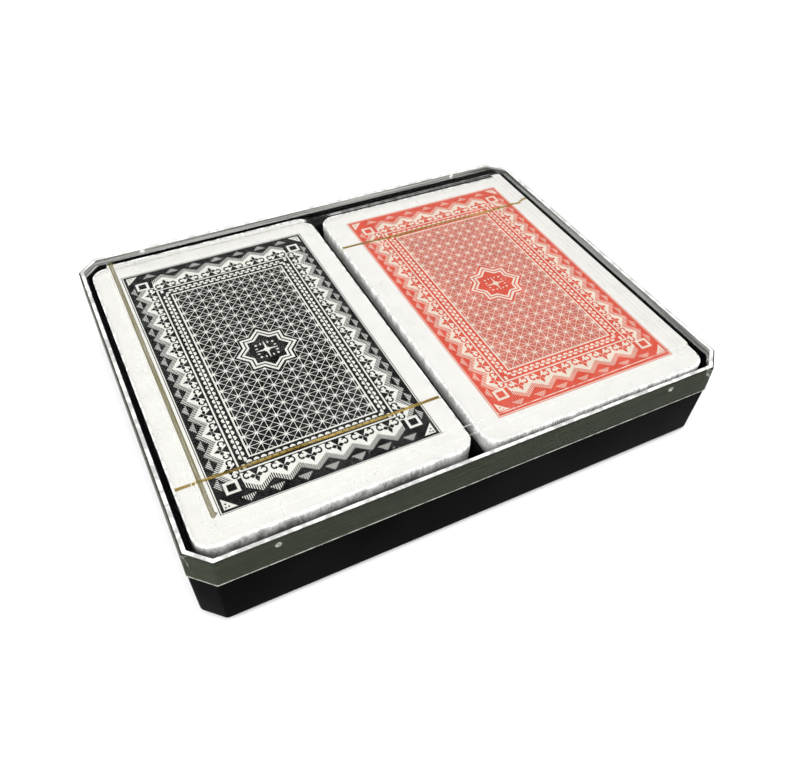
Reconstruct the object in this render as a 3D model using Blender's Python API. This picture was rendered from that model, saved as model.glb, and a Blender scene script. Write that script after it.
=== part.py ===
"""A two-deck playing card box: a black moulded tray, a clear lift-off lid and two sealed packs.

The tray holds two bays with a low rib between them. Each bay holds one pack: a deck of cards in a
clear film with a gold tear strip under it. The lid drops over the tray's upper wall, its skirt
stands on the tray's ledge, and its top has a raised rectangular panel that nests in the recess
under the tray of the next box.

The box stands on z = 0, its long side runs along X, and its centre is at x = y = 0.
"""

import math

import bmesh
import bpy
from mathutils import Vector

MM = 0.001

# Cards
CARD_WIDTH = 57.0 * MM
CARD_LENGTH = 88.0 * MM
CARD_CORNER = 3.5 * MM
CARD_PITCH = 0.31 * MM
CARD_GAP = 0.02 * MM
CARDS_IN_DECK = 54
SINGLE_CARDS = 26

# Film wrap and tear strip
STRIP_GAP = 0.03 * MM
FILM = 0.08 * MM
STRIP_THICKNESS = 0.06 * MM
FILM_CLEARANCE = STRIP_THICKNESS + 2 * STRIP_GAP
STRIP_WIDTH = 1.5 * MM
STRIP_FROM_CENTRE = 29.0 * MM
FOLD_SLOT_WIDTH = 12.0 * MM
FOLD_SLOT_HEIGHT = 0.4 * MM

# Where each pack lies in its bay: x, y and a small turn
LEFT_PACK = (-29.9 * MM, 0.6 * MM, math.radians(0.07))
RIGHT_PACK = (29.8 * MM, -0.6 * MM, math.radians(-0.25))

# Plan outlines: half length, half depth and the corner's chamfer
BODY = (61.2 * MM, 48.0 * MM, 4.4 * MM)
PANEL = (55.0 * MM, 41.5 * MM, 0.5 * MM)
CORNER_RADIUS = 0.35 * MM

# Tray: distances are offsets from an outline, inwards negative
FOOT_RECESS = 0.8 * MM
FLOOR_TOP = 2.3 * MM
RECESS_CLEARANCE = 0.5 * MM
FOOT_RADIUS = 2.0 * MM
WALL_AT_FOOT = -0.75 * MM
WALL_AT_LEDGE = -0.2 * MM
LEDGE_HEIGHT = 14.2 * MM
LEDGE_ROUND = 0.3 * MM
UPPER_WALL_OUTER = -1.35 * MM
UPPER_WALL_INNER = -2.15 * MM
INNER_WALL_AT_FLOOR = -2.2 * MM
FLOOR_ROUND = 0.5 * MM
RIM_HEIGHT = 19.75 * MM
RIM_ROUND = 0.2 * MM
RIB_CENTRE = -0.12 * MM
RIB_THICKNESS = 1.3 * MM
RIB_TOP = 17.4 * MM
RIB_ROUND = 0.3 * MM
RIB_INTO_WALL = 0.35 * MM
RIB_INTO_FLOOR = 0.6 * MM

# Lid
SKIRT_BOTTOM = 14.5 * MM
SKIRT_THICKNESS = 1.1 * MM
SKIRT_DRAFT = 0.1 * MM
SHOULDER_TOP = 21.4 * MM
SHOULDER_THICKNESS = 1.35 * MM
PANEL_TOP = 24.0 * MM
PANEL_THICKNESS = 1.3 * MM
PANEL_DRAFT = 0.4 * MM
LID_ROUND = 0.35 * MM
SNAP_FROM_CENTRE = 45.0 * MM
SNAP_HEIGHT = 19.8 * MM
DIMPLE_RADIUS = 0.9 * MM
DIMPLE_DEPTH = 0.3 * MM
BUMP_RADIUS = 0.6 * MM
BUMP_HEIGHT = 0.12 * MM

PACK_BOTTOM = FLOOR_TOP + 0.3 * MM
CARDS_BOTTOM = PACK_BOTTOM + FILM + FILM_CLEARANCE
CARDS_TOP = CARDS_BOTTOM + CARDS_IN_DECK * CARD_PITCH - CARD_GAP
PACK_TOP = CARDS_TOP + FILM_CLEARANCE + FILM

ROUND_STEPS = 3
CARD_CORNER_STEPS = 5
SNAP_SEGMENTS = 16
SMOOTH_ANGLE = math.radians(35)


def clear_scene():
    for obj in list(bpy.data.objects):
        bpy.data.objects.remove(obj, do_unlink=True)


def material(name, colour, roughness, metallic=0.0, alpha=1.0):
    made = bpy.data.materials.new(name)
    made.use_nodes = True
    shader = made.node_tree.nodes["Principled BSDF"]
    shader.inputs["Base Color"].default_value = (*colour, 1.0)
    shader.inputs["Roughness"].default_value = roughness
    shader.inputs["Metallic"].default_value = metallic
    shader.inputs["Alpha"].default_value = alpha
    made.diffuse_color = (*colour, alpha)
    return made


def add_object(name, bm, finish, parent=None):
    """Turns a bmesh into an object whose closed surface faces outwards."""
    bmesh.ops.recalc_face_normals(bm, faces=bm.faces)
    mesh = bpy.data.meshes.new(name)
    bm.to_mesh(mesh)
    bm.free()
    mesh.materials.append(finish)
    mesh.shade_smooth()
    mesh.set_sharp_from_angle(angle=SMOOTH_ANGLE)
    obj = bpy.data.objects.new(name, mesh)
    bpy.context.scene.collection.objects.link(obj)
    obj.parent = parent
    return obj


def add_empty(name, location, turn=0.0):
    empty = bpy.data.objects.new(name, None)
    empty.location = location
    empty.rotation_euler = (0.0, 0.0, turn)
    bpy.context.scene.collection.objects.link(empty)
    return empty


def rounded(corners, radius, steps):
    """The points of a convex outline, listed counter-clockwise, with an arc at each corner."""
    points = []
    for i, corner in enumerate(corners):
        before = (corner - corners[i - 1]).normalized()
        after = (corners[(i + 1) % len(corners)] - corner).normalized()
        turn = before.angle(after)
        tangent = radius * math.tan(turn / 2)
        inward = Vector((-before.y, before.x))
        centre = corner - before * tangent + inward * radius
        for step in range(steps + 1):
            angle = turn * step / steps
            along = before * math.sin(angle) - inward * math.cos(angle)
            points.append(centre + along * radius)
    return points


def chamfered_rectangle(outline, offset):
    """A rectangle with chamfered corners, moved outwards by offset with even walls all round."""
    half_x = outline[0] + offset
    half_y = outline[1] + offset
    cut = max(outline[2] + offset * (2 - math.sqrt(2)), CORNER_RADIUS)
    corners = [
        (half_x, -half_y + cut),
        (half_x, half_y - cut),
        (half_x - cut, half_y),
        (-half_x + cut, half_y),
        (-half_x, half_y - cut),
        (-half_x, -half_y + cut),
        (-half_x + cut, -half_y),
        (half_x - cut, -half_y),
    ]
    return rounded([Vector(corner) for corner in corners], CORNER_RADIUS, ROUND_STEPS)


def arc(outline, offset, height, radius, start, end):
    """Stations round an arc whose centre is at this offset and height; 0 degrees points outwards."""
    stations = []
    for step in range(ROUND_STEPS + 1):
        angle = math.radians(start + (end - start) * step / ROUND_STEPS)
        stations.append(
            (outline, offset + radius * math.cos(angle), height + radius * math.sin(angle))
        )
    return stations


def moulding(name, stations, finish):
    """A closed skin through one ring of points for each station, with a face over both ends."""
    bm = bmesh.new()
    rings = []
    for outline, offset, height in stations:
        plan = chamfered_rectangle(outline, offset)
        rings.append([bm.verts.new((point.x, point.y, height)) for point in plan])
    for lower, upper in zip(rings, rings[1:]):
        for i in range(len(lower)):
            j = (i + 1) % len(lower)
            bm.faces.new((lower[i], lower[j], upper[j], upper[i]))
    bm.faces.new(rings[0])
    bm.faces.new(rings[-1])
    return add_object(name, bm, finish)


def prism(bm, half_x, half_y, corner, low, high):
    """A flat prism with rounded upright corners, centred on the origin in plan."""
    square = [(half_x, -half_y), (half_x, half_y), (-half_x, half_y), (-half_x, -half_y)]
    plan = rounded([Vector(point) for point in square], corner, CARD_CORNER_STEPS)
    bottom = [bm.verts.new((point.x, point.y, low)) for point in plan]
    top = [bm.verts.new((point.x, point.y, high)) for point in plan]
    for i in range(len(plan)):
        j = (i + 1) % len(plan)
        bm.faces.new((bottom[i], bottom[j], top[j], top[i]))
    bm.faces.new(bottom)
    bm.faces.new(top)


def block(bm, low, high):
    """A plain box between two corners."""
    made = bmesh.ops.create_cube(bm, size=1.0)["verts"]
    size = Vector(high) - Vector(low)
    bmesh.ops.scale(bm, verts=made, vec=size)
    bmesh.ops.translate(bm, verts=made, vec=Vector(low) + size / 2)
    return made


def ball(bm, radius, centre):
    made = bmesh.ops.create_uvsphere(
        bm, u_segments=SNAP_SEGMENTS, v_segments=SNAP_SEGMENTS // 2, radius=radius
    )["verts"]
    bmesh.ops.translate(bm, verts=made, vec=centre)


def as_tool(obj):
    obj.hide_render = True
    obj.display_type = "WIRE"
    return obj


def boolean(obj, tool, operation):
    modifier = obj.modifiers.new(tool.name, "BOOLEAN")
    modifier.operation = operation
    modifier.object = tool


def make_tray(finish):
    foot_inner = RECESS_CLEARANCE
    foot_outer = WALL_AT_FOOT - FOOT_RADIUS
    stations = [(PANEL, foot_inner - PANEL_DRAFT / 2, FOOT_RECESS), (PANEL, foot_inner, 0.0)]
    stations += arc(BODY, foot_outer, FOOT_RADIUS, FOOT_RADIUS, -90, 0)
    stations += arc(
        BODY, WALL_AT_LEDGE - LEDGE_ROUND, LEDGE_HEIGHT - LEDGE_ROUND, LEDGE_ROUND, 0, 90
    )
    stations.append((BODY, UPPER_WALL_OUTER, LEDGE_HEIGHT))
    stations += arc(
        BODY, UPPER_WALL_OUTER - RIM_ROUND, RIM_HEIGHT - RIM_ROUND, RIM_ROUND, 0, 90
    )
    stations += arc(
        BODY, UPPER_WALL_INNER + RIM_ROUND, RIM_HEIGHT - RIM_ROUND, RIM_ROUND, 90, 180
    )
    stations += arc(
        BODY, INNER_WALL_AT_FLOOR - FLOOR_ROUND, FLOOR_TOP + FLOOR_ROUND, FLOOR_ROUND, 0, -90
    )
    tray = moulding("tray", stations, finish)

    bm = bmesh.new()
    half = RIB_THICKNESS / 2
    reach = BODY[1] + UPPER_WALL_INNER + RIB_INTO_WALL
    block(
        bm,
        (RIB_CENTRE - half, -reach, FLOOR_TOP - RIB_INTO_FLOOR),
        (RIB_CENTRE + half, reach, RIB_TOP),
    )
    top_edges = [
        edge
        for edge in bm.edges
        if min(v.co.z for v in edge.verts) > RIB_TOP - RIB_ROUND
        and abs(edge.verts[0].co.y - edge.verts[1].co.y) > reach
    ]
    bmesh.ops.bevel(bm, geom=top_edges, offset=RIB_ROUND, segments=ROUND_STEPS, affect="EDGES")
    rib = as_tool(add_object("rib_tool", bm, finish))
    boolean(tray, rib, "UNION")
    return tray


def make_lid(finish):
    inner = -SKIRT_THICKNESS
    ceiling = PANEL_TOP - PANEL_THICKNESS
    shoulder_below = SHOULDER_TOP - SHOULDER_THICKNESS
    wall = PANEL_THICKNESS
    stations = arc(PANEL, -PANEL_DRAFT - wall - LID_ROUND, ceiling - LID_ROUND, LID_ROUND, 90, 0)
    stations += arc(PANEL, -wall + LID_ROUND, shoulder_below + LID_ROUND, LID_ROUND, 180, 270)
    stations += arc(
        BODY, inner - SKIRT_DRAFT - LID_ROUND, shoulder_below - LID_ROUND, LID_ROUND, 90, 0
    )
    stations.append((BODY, inner, SKIRT_BOTTOM))
    stations.append((BODY, 0.0, SKIRT_BOTTOM))
    stations += arc(
        BODY, -SKIRT_DRAFT - LID_ROUND, SHOULDER_TOP - LID_ROUND, LID_ROUND, 0, 90
    )
    stations += arc(PANEL, LID_ROUND, SHOULDER_TOP + LID_ROUND, LID_ROUND, 270, 180)
    stations += arc(PANEL, -PANEL_DRAFT - LID_ROUND, PANEL_TOP - LID_ROUND, LID_ROUND, 0, 90)
    lid = moulding("lid", stations, finish)

    bumps = bmesh.new()
    dimples = bmesh.new()
    skirt = BODY[1] - SKIRT_DRAFT * (SNAP_HEIGHT - SKIRT_BOTTOM) / (SHOULDER_TOP - SKIRT_BOTTOM)
    for x in (-SNAP_FROM_CENTRE, SNAP_FROM_CENTRE):
        for side in (-1, 1):
            bump_y = side * (skirt - SKIRT_THICKNESS + BUMP_RADIUS - BUMP_HEIGHT)
            ball(bumps, BUMP_RADIUS, (x, bump_y, SNAP_HEIGHT))
            dimple_y = side * (skirt + DIMPLE_RADIUS - DIMPLE_DEPTH)
            ball(dimples, DIMPLE_RADIUS, (x, dimple_y, SNAP_HEIGHT))
    boolean(lid, as_tool(add_object("snap_bump_tool", bumps, finish)), "UNION")
    boolean(lid, as_tool(add_object("snap_dimple_tool", dimples, finish)), "DIFFERENCE")
    return lid


def make_card(name, pack, finish, top, thickness):
    """One card, or several pressed together, hanging below the height of its top face."""
    bm = bmesh.new()
    prism(bm, CARD_WIDTH / 2, CARD_LENGTH / 2, CARD_CORNER, -thickness, 0.0)
    card = add_object(name, bm, finish, pack)
    card.location.z = top
    return card


def make_deck(side, pack, back_finish, paper):
    """The top cards one by one, and the rest of the deck as one block under them."""
    thickness = CARD_PITCH - CARD_GAP
    for number in range(SINGLE_CARDS):
        finish = back_finish if number == 0 else paper
        top = CARDS_TOP - number * CARD_PITCH
        make_card(f"{side}_card_{number + 1:02d}", pack, finish, top, thickness)
    rest = CARDS_IN_DECK - SINGLE_CARDS
    block_top = CARDS_TOP - SINGLE_CARDS * CARD_PITCH
    make_card(f"{side}_lower_cards", pack, paper, block_top, rest * CARD_PITCH - CARD_GAP)


def make_wrap(side, pack, film):
    """A closed film over the deck. The fold at its far end leaves a slot, as a real fold does."""
    inner_x = CARD_WIDTH / 2 + FILM_CLEARANCE
    inner_y = CARD_LENGTH / 2 + FILM_CLEARANCE
    corner = CARD_CORNER + FILM_CLEARANCE
    outer = bmesh.new()
    prism(outer, inner_x + FILM, inner_y + FILM, corner + FILM, PACK_BOTTOM, PACK_TOP)
    wrap = add_object(f"{side}_wrap", outer, film, pack)

    hollow = bmesh.new()
    prism(hollow, inner_x, inner_y, corner, PACK_BOTTOM + FILM, PACK_TOP - FILM)
    boolean(
        wrap, as_tool(add_object(f"{side}_hollow_tool", hollow, film, pack)), "DIFFERENCE"
    )

    slot = bmesh.new()
    middle = (PACK_BOTTOM + PACK_TOP) / 2
    block(
        slot,
        (-FOLD_SLOT_WIDTH / 2, inner_y - FILM, middle - FOLD_SLOT_HEIGHT / 2),
        (FOLD_SLOT_WIDTH / 2, inner_y + 3 * FILM, middle + FOLD_SLOT_HEIGHT / 2),
    )
    boolean(wrap, as_tool(add_object(f"{side}_slot_tool", slot, film, pack)), "DIFFERENCE")
    return wrap


def make_tear_strip(side, pack, gold, y):
    """A closed band round the deck, between the cards and the film."""
    near = STRIP_GAP
    far = STRIP_GAP + STRIP_THICKNESS
    bm = bmesh.new()
    rings = []
    for gap in (near, far):
        half = CARD_WIDTH / 2 + gap
        low = CARDS_BOTTOM - gap
        high = CARDS_TOP + gap
        loop = [(-half, low), (half, low), (half, high), (-half, high)]
        for edge in (y - STRIP_WIDTH / 2, y + STRIP_WIDTH / 2):
            rings.append([bm.verts.new((x, edge, z)) for x, z in loop])
    inner_near, inner_far, outer_near, outer_far = rings
    for first, second in (
        (inner_near, inner_far),
        (inner_far, outer_far),
        (outer_far, outer_near),
        (outer_near, inner_near),
    ):
        for i in range(4):
            j = (i + 1) % 4
            bm.faces.new((first[i], first[j], second[j], second[i]))
    return add_object(f"{side}_tear_strip", bm, gold, pack)


def make_pack(side, place, strip_y, back_finish, paper, film, gold):
    x, y, turn = place
    pack = add_empty(f"{side}_pack", (x, y, 0.0), turn)
    make_deck(side, pack, back_finish, paper)
    make_wrap(side, pack, film)
    make_tear_strip(side, pack, gold, strip_y)


def main():
    clear_scene()
    black = material("black_plastic", (0.012, 0.012, 0.013), 0.15)
    clear = material("clear_plastic", (0.93, 0.94, 0.89), 0.04, alpha=0.25)
    film = material("clear_film", (0.95, 0.95, 0.95), 0.08, alpha=0.2)
    gold = material("gold_strip", (0.68, 0.52, 0.12), 0.25, metallic=0.6)
    paper = material("card_paper", (0.88, 0.88, 0.86), 0.5)
    black_back = material("black_card_back", (0.02, 0.02, 0.02), 0.35)
    red_back = material("red_card_back", (0.84, 0.16, 0.1), 0.35)

    make_tray(black)
    make_lid(clear)
    make_pack("left", LEFT_PACK, -STRIP_FROM_CENTRE, black_back, paper, film, gold)
    make_pack("right", RIGHT_PACK, STRIP_FROM_CENTRE, red_back, paper, film, gold)
    bpy.context.view_layer.update()


main()
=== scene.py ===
import math
import random
from collections import namedtuple

import bmesh
import bpy
from mathutils import Matrix, Vector, noise
from mathutils.geometry import delaunay_2d_cdt


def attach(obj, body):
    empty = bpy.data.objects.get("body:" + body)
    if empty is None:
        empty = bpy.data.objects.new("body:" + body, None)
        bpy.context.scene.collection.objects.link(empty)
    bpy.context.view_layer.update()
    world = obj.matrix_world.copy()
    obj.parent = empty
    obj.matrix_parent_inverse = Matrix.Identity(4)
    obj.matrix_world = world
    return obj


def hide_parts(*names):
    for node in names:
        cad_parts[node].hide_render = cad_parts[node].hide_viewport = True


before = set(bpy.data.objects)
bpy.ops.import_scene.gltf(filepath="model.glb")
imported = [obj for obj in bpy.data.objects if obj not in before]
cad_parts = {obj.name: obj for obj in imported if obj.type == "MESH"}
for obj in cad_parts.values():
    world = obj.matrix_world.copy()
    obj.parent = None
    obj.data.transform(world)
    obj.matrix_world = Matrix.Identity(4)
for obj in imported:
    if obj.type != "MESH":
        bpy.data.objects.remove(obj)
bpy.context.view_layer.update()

MM = 0.001

# Camera, in millimetres and degrees
CAMERA_PLACE = (-63.932, -123.345, 137.411)
CAMERA_AZIMUTH = 29.069
CAMERA_DOWN = 45.5
CAMERA_ROLL = 2.775
CAMERA_LENS = 34.777
SENSOR_WIDTH = 36.0
CAMERA_CLIP_METRES = (0.005, 20.0)

# Studio: lamps give place and size in metres and power in watts, and all point at the origin
LAMPS = {
    "key": ((0.0, -0.4, 3.0), (3.6, 3.2), 128.0),
    "fill": ((-2.0, -1.5, 1.6), (3.0, 2.4), 128.0),
}
BACKDROP = 1.1
GLOW_FROM = (0.12, 1.5)
GLOW_TO = (0.58, 0.015)
FLOOR_HALF = 3000.0
FLOOR_DROP = 0.05

# Looks that several materials share
CLEAR_TINT = (0.985, 0.985, 0.98)
INK_GLOSS = 0.05
LID_IOR = 1.04
SKIRT_IOR = 1.12

# The packs: x, y in millimetres, and turn in degrees
PACKS = {"left": (-29.9, 0.6, 0.07), "right": (29.8, -0.6, -0.25)}
CARD = (57.0, 88.0)
CARD_CORNER = 3.5
CARD_THICKNESS = 0.29
CARD_PITCH = 0.31
CARDS_TOP = 19.52
SINGLE_CARDS = 26
LOWER_CARDS = 28
CARD_STRAY = 0.05
CARDS_BOTTOM = 2.8

# Film and tear strip, in millimetres
PACK_BOTTOM = 2.6
PACK_TOP = 19.72
FILM_REACH = 0.2
FILM_THICKNESS = 0.04
FILM_ROUND = 0.2
FILM_ROUND_STEPS = 4
FILM_SIDE_STEPS = 12
FILM_TOP_SHARES = (0.1, 0.25, 0.4, 0.55, 0.68, 0.78, 0.86, 0.92, 0.96, 0.985)
FILM_UNDER_SHARES = (0.96, 0.85, 0.5, 0.15)
FILM_HALF = (30.0, 45.0)
FILM_WAVE = 0.16
WAVE_SHARE = 0.6
WAVE_SCALE = (0.22, 0.1)
CREASE_SCALE = (0.5, 0.09)
SIDE_PUSH = 0.8
# The film's painted sheen and painted light fade from the top of the pack down to this height.
PAINTED_LIGHT_FROM = 16.8
FILM_STEP = 1.3
FILM_SMOOTH_ANGLE = 50
FILM_SEED = {"left": 5.0, "right": 11.0}
FLAP_ROOT_INSET = 3.2
FLAP_TIP_INSET = 12.0
FLAP_MARGIN = 0.3
FLAP_OVERLAP = 0.25
FLAP_STANDOFF = 0.03
FLAP_LAYER = 0.07
STRIP_WIDTH = 0.7
STRIP_STEP = 0.8
STRIP_GAPS = (0.02, 0.07)
STRIP_WANDER = {"left": 0.25, "right": 0.8}
STRIP_WANDER_FIELD = (0.07, 0.09, 3.7)
STRIP_WIDTH_WANDER = 0.2
STRIP_WIDTH_FIELD = (0.3, 0.3, 9.1)
STRIP_Y = {"left": -29.0, "right": 29.0}

# Plan outlines: half length, half depth and the corner's chamfer
BODY = (61.2, 48.0, 4.4)
PANEL = (55.0, 41.5, 0.5)
PLAN_CORNER_RADIUS = 0.35

# The lid, in millimetres, and the zones of its looks
# RIM, EDGE, SKIRT and PANEL_LEFT carry painted light and shade: the bright and dark lines that
# refraction shows in the clear plastic.
FLAT, RIM, EDGE, SKIRT, PANEL_LEFT = range(5)
SKIRT_BOTTOM = 14.5
SKIRT_THICKNESS = 1.1
SKIRT_DRAFT = 0.1
SHOULDER_TOP = 21.4
SHOULDER_THICKNESS = 1.35
SHOULDER_REACH = 1.0
# The painted highlight at the skirt's cut edge reaches CUT_EDGE_UNDER under it and CUT_EDGE_OUTSIDE up
# its outside.
CUT_EDGE_UNDER = 0.3
CUT_EDGE_OUTSIDE = 0.2
# The painted rim highlight reaches this far past the skirt's inside.
RIM_OVERLAP = 0.1
PANEL_TOP = 24.0
PANEL_THICKNESS = 1.3
PANEL_DRAFT = 0.4
LID_ROUND = 0.35
LEVEL_TOLERANCE = 0.001
SMOOTH_ANGLE = 40
SNAP_FROM_CENTRE = 45.0
SNAP_HEIGHT = 19.8
DIMPLE_RADIUS = 0.9
DIMPLE_DEPTH = 0.3
BUMP_RADIUS = 0.6
BUMP_HEIGHT = 0.12

# The tray, in millimetres: distances from an outline are negative inwards
TRAY_CORNER_RADIUS = 1.2
FOOT_RECESS = 0.8
FLOOR_TOP = 2.3
RECESS_CLEARANCE = 0.5
FOOT_RADIUS = 2.0
FOOT_STEPS = 12
WALL_AT_FOOT = -0.75
WALL_AT_LEDGE = -0.2
LEDGE_HEIGHT = 14.2
LEDGE_ROUND = 0.3
UPPER_WALL_OUTER = -1.35
UPPER_WALL_INNER = -2.15
INNER_WALL_AT_FLOOR = -2.2
FLOOR_ROUND = 0.5
RIM_HEIGHT = 19.75
RIM_ROUND = 0.2
RIB_CENTRE = -0.12
RIB_THICKNESS = 1.3
RIB_TOP = 17.4
RIB_ROUND = 0.3
RIB_INTO_WALL = 0.35
RIB_INTO_FLOOR = 0.6
PIN_MARK_RADIUS = 2.5
PIN_MARK_DEPTH = 0.12
PIN_MARKS = ((-44.0, -31.0), (44.0, -31.0), (-44.0, 31.0), (44.0, 31.0), (-15.0, 0.0), (15.0, 0.0))
GATE_RADIUS = 1.6
GATE_PLACE = (0.0, 18.0)
GATE_DEPTH = 0.24
MARK_TOOL_DROP = 1.0

# The print on a card's back, in millimetres from its centre
INK, PAPER, MARGIN, FIELD_INK = "ink", "paper", "margin", "field ink"
TONE_MATERIALS = {MARGIN: 0, INK: 1, PAPER: 3, FIELD_INK: 4}
CARD_EDGE_MATERIAL = 2
CDT_TRIANGLES = 0
PRINT_MERGE = 1e-5
MARGIN_MERGE = 1e-6
PRINT = (23.2, 38.65)
PRINT_LINE = (23.02, 38.47)
BAND = (22.8, 38.25)
FIELD = (13.6, 27.3)
STAR_PITCH = (2.63, 2.79)
STAR_COUNT = (6, 11)
STAR_WAIST = 0.26
STAR_TIP = 0.09
STARS_FROM = 4.0
MEDALLION_STRETCH = 1.03
MEDALLION_RINGS = (
    (5.25, 7.75, INK),
    (4.78, 7.08, PAPER),
    (4.25, 6.33, INK),
    (3.92, 5.86, PAPER),
    (3.45, 5.20, INK),
)
MEDALLION_RAYS = (2.5, 0.75, 2.7, 0.75)
MEDALLION_WAIST = 0.62
MEDALLION_TIP = 0.12
MEDALLION_LOZENGES = (
    (0.85, 2.15, 0.2, 0.42),
    (2.15, 0.85, 0.42, 0.2),
    (1.95, 2.0, 0.33, 0.36),
)
FRAME_LINES = (
    (13.6, 13.95, 27.3, 27.65, PAPER),
    (16.45, 16.8, 30.15, 30.5, PAPER),
)
FRAME_OUTER = (17.05, 30.75)
CHECK_PITCH = 1.5
CHECK_RADIUS = 0.62
CHECK_GAP = 0.13
CHECK_CENTRE = (15.2, 28.9)
CHECK_COUNT = (10, 19)
CHECK_CORNER = (15.3, 15.95, 28.9, 30.0)
Border = namedtuple("Border", "pitch teeth root valley apex hatch_base hatch_tip")
LONG_BORDER = Border(5.3, 6, FRAME_OUTER[0], 19.85, 21.9, 21.15, 22.4)
SHORT_BORDER = Border(5.65, 3, FRAME_OUTER[1], 34.3, 36.4, 36.1, 37.7)
HATCH_PITCH = 0.42
HATCH_WIDTH = 0.18
HATCH_BAND = 1.3
HATCH_REACH = 1.6
HATCH_BARS = 3
MOTIF_HEIGHT = 3.5
MOTIF_MIDDLE = (
    ((-0.95, 0.0), (0.95, 0.0), (0.0, 1.3)),
    ((-1.35, 1.3), (-0.7, 0.85), (0.0, 1.3), (-0.7, 1.75)),
    ((0.0, 1.3), (0.7, 0.85), (1.35, 1.3), (0.7, 1.75)),
    ((-0.5, 1.85), (0.0, 1.25), (0.5, 1.85), (0.0, 2.75)),
)
MOTIF_FOOT = ((1.25, 0.0), (2.35, 0.0), (1.8, 0.42))
CURL_CENTRE = (1.8, 0.82)
CURL_RADIUS = 0.74
CURL_WIDTH = 0.45
CURL_TAPER = 0.55
CURL_ANGLES = (-150, 140)
CORNER_CENTRE = (19.3, 33.2)
CORNER_SQUARES = ((1.45, PAPER), (0.88, INK))
CORNER_WEDGE = [(22.2, 34.9), (22.2, 37.65), (19.6, 37.65)]
CORNER_DOTS = ((21.6, 36.4), (21.1, 37.1), (21.75, 37.2))
CORNER_DOT = 0.25
PRINT_OFFSET = {"left": (0.8, 0.4), "right": (0.4, 0.4)}


class Graph:
    """A node material, built one node at a time."""

    def __init__(self, name):
        self.material = bpy.data.materials.new(name)
        self.material.use_nodes = True
        self.tree = self.material.node_tree
        self.tree.nodes.clear()

    def node(self, kind, inputs=None, **settings):
        made = self.tree.nodes.new("ShaderNode" + kind)
        for name, value in settings.items():
            setattr(made, name, value)
        for name, value in (inputs or {}).items():
            if isinstance(value, bpy.types.NodeSocket):
                self.tree.links.new(value, made.inputs[name])
            else:
                made.inputs[name].default_value = value
        return made

    def place(self, scale=(1.0, 1.0, 1.0)):
        """Object coordinates in metres, stretched by scale."""
        coordinates = self.node("TexCoord").outputs["Object"]
        return self.node("Mapping", {"Vector": coordinates, "Scale": scale}).outputs["Vector"]

    def noise(self, scale, detail=3.0, roughness=0.5, vector=None):
        inputs = {"Scale": scale, "Detail": detail, "Roughness": roughness}
        inputs["Vector"] = vector or self.place()
        return self.node("TexNoise", inputs).outputs["Fac"]

    def spread(self, value, to=(0.0, 1.0), usual=(0.3, 0.7)):
        """value, which is usually in one range, taken to another."""
        inputs = {
            "Value": value,
            "From Min": usual[0],
            "From Max": usual[1],
            "To Min": to[0],
            "To Max": to[1],
        }
        return self.node("MapRange", inputs).outputs["Result"]

    def calculate(self, operation, *values):
        return self.node("Math", dict(enumerate(values)), operation=operation).outputs[0]

    def blend(self, factor, first, second):
        made = self.node("Mix", data_type="RGBA")
        self.tree.links.new(factor, made.inputs["Factor"])
        made.inputs[6].default_value = (*first, 1.0)
        made.inputs[7].default_value = (*second, 1.0)
        return made.outputs[2]

    def layer(self, share, below, above):
        """One shader over another. share is how much of the upper one shows."""
        made = self.node("MixShader", {"Fac": share})
        self.tree.links.new(below, made.inputs[1])
        self.tree.links.new(above, made.inputs[2])
        return made.outputs["Shader"]

    def see_through(self, colour):
        return self.node("BsdfTransparent", {"Color": (*colour, 1.0)}).outputs["BSDF"]

    def bump(self, height, strength, distance):
        inputs = {"Height": height, "Strength": strength, "Distance": distance}
        return self.node("Bump", inputs).outputs["Normal"]

    def finish(self, surface):
        self.node("OutputMaterial", {"Surface": surface})
        return self.material


def black_plastic():
    """Polished black moulding, with faint flow marks and fine handling scuffs."""
    g = Graph("tray_black_plastic")
    cloud = g.noise(scale=60.0, detail=4.0)
    scuff = g.noise(scale=900.0, detail=6.0, roughness=0.7, vector=g.place((1.0, 0.15, 1.0)))
    colour = g.blend(g.spread(cloud), (0.0012, 0.0012, 0.0014), (0.003, 0.003, 0.0033))
    shader = g.node(
        "BsdfPrincipled",
        {
            "Base Color": colour,
            "Roughness": g.spread(scuff, to=(0.1, 0.26)),
            "IOR": 1.06,
            "Specular IOR Level": 0.2,
            "Normal": g.bump(scuff, strength=0.06, distance=0.00004),
        },
    )
    return g.finish(shader.outputs["BSDF"])


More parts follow.
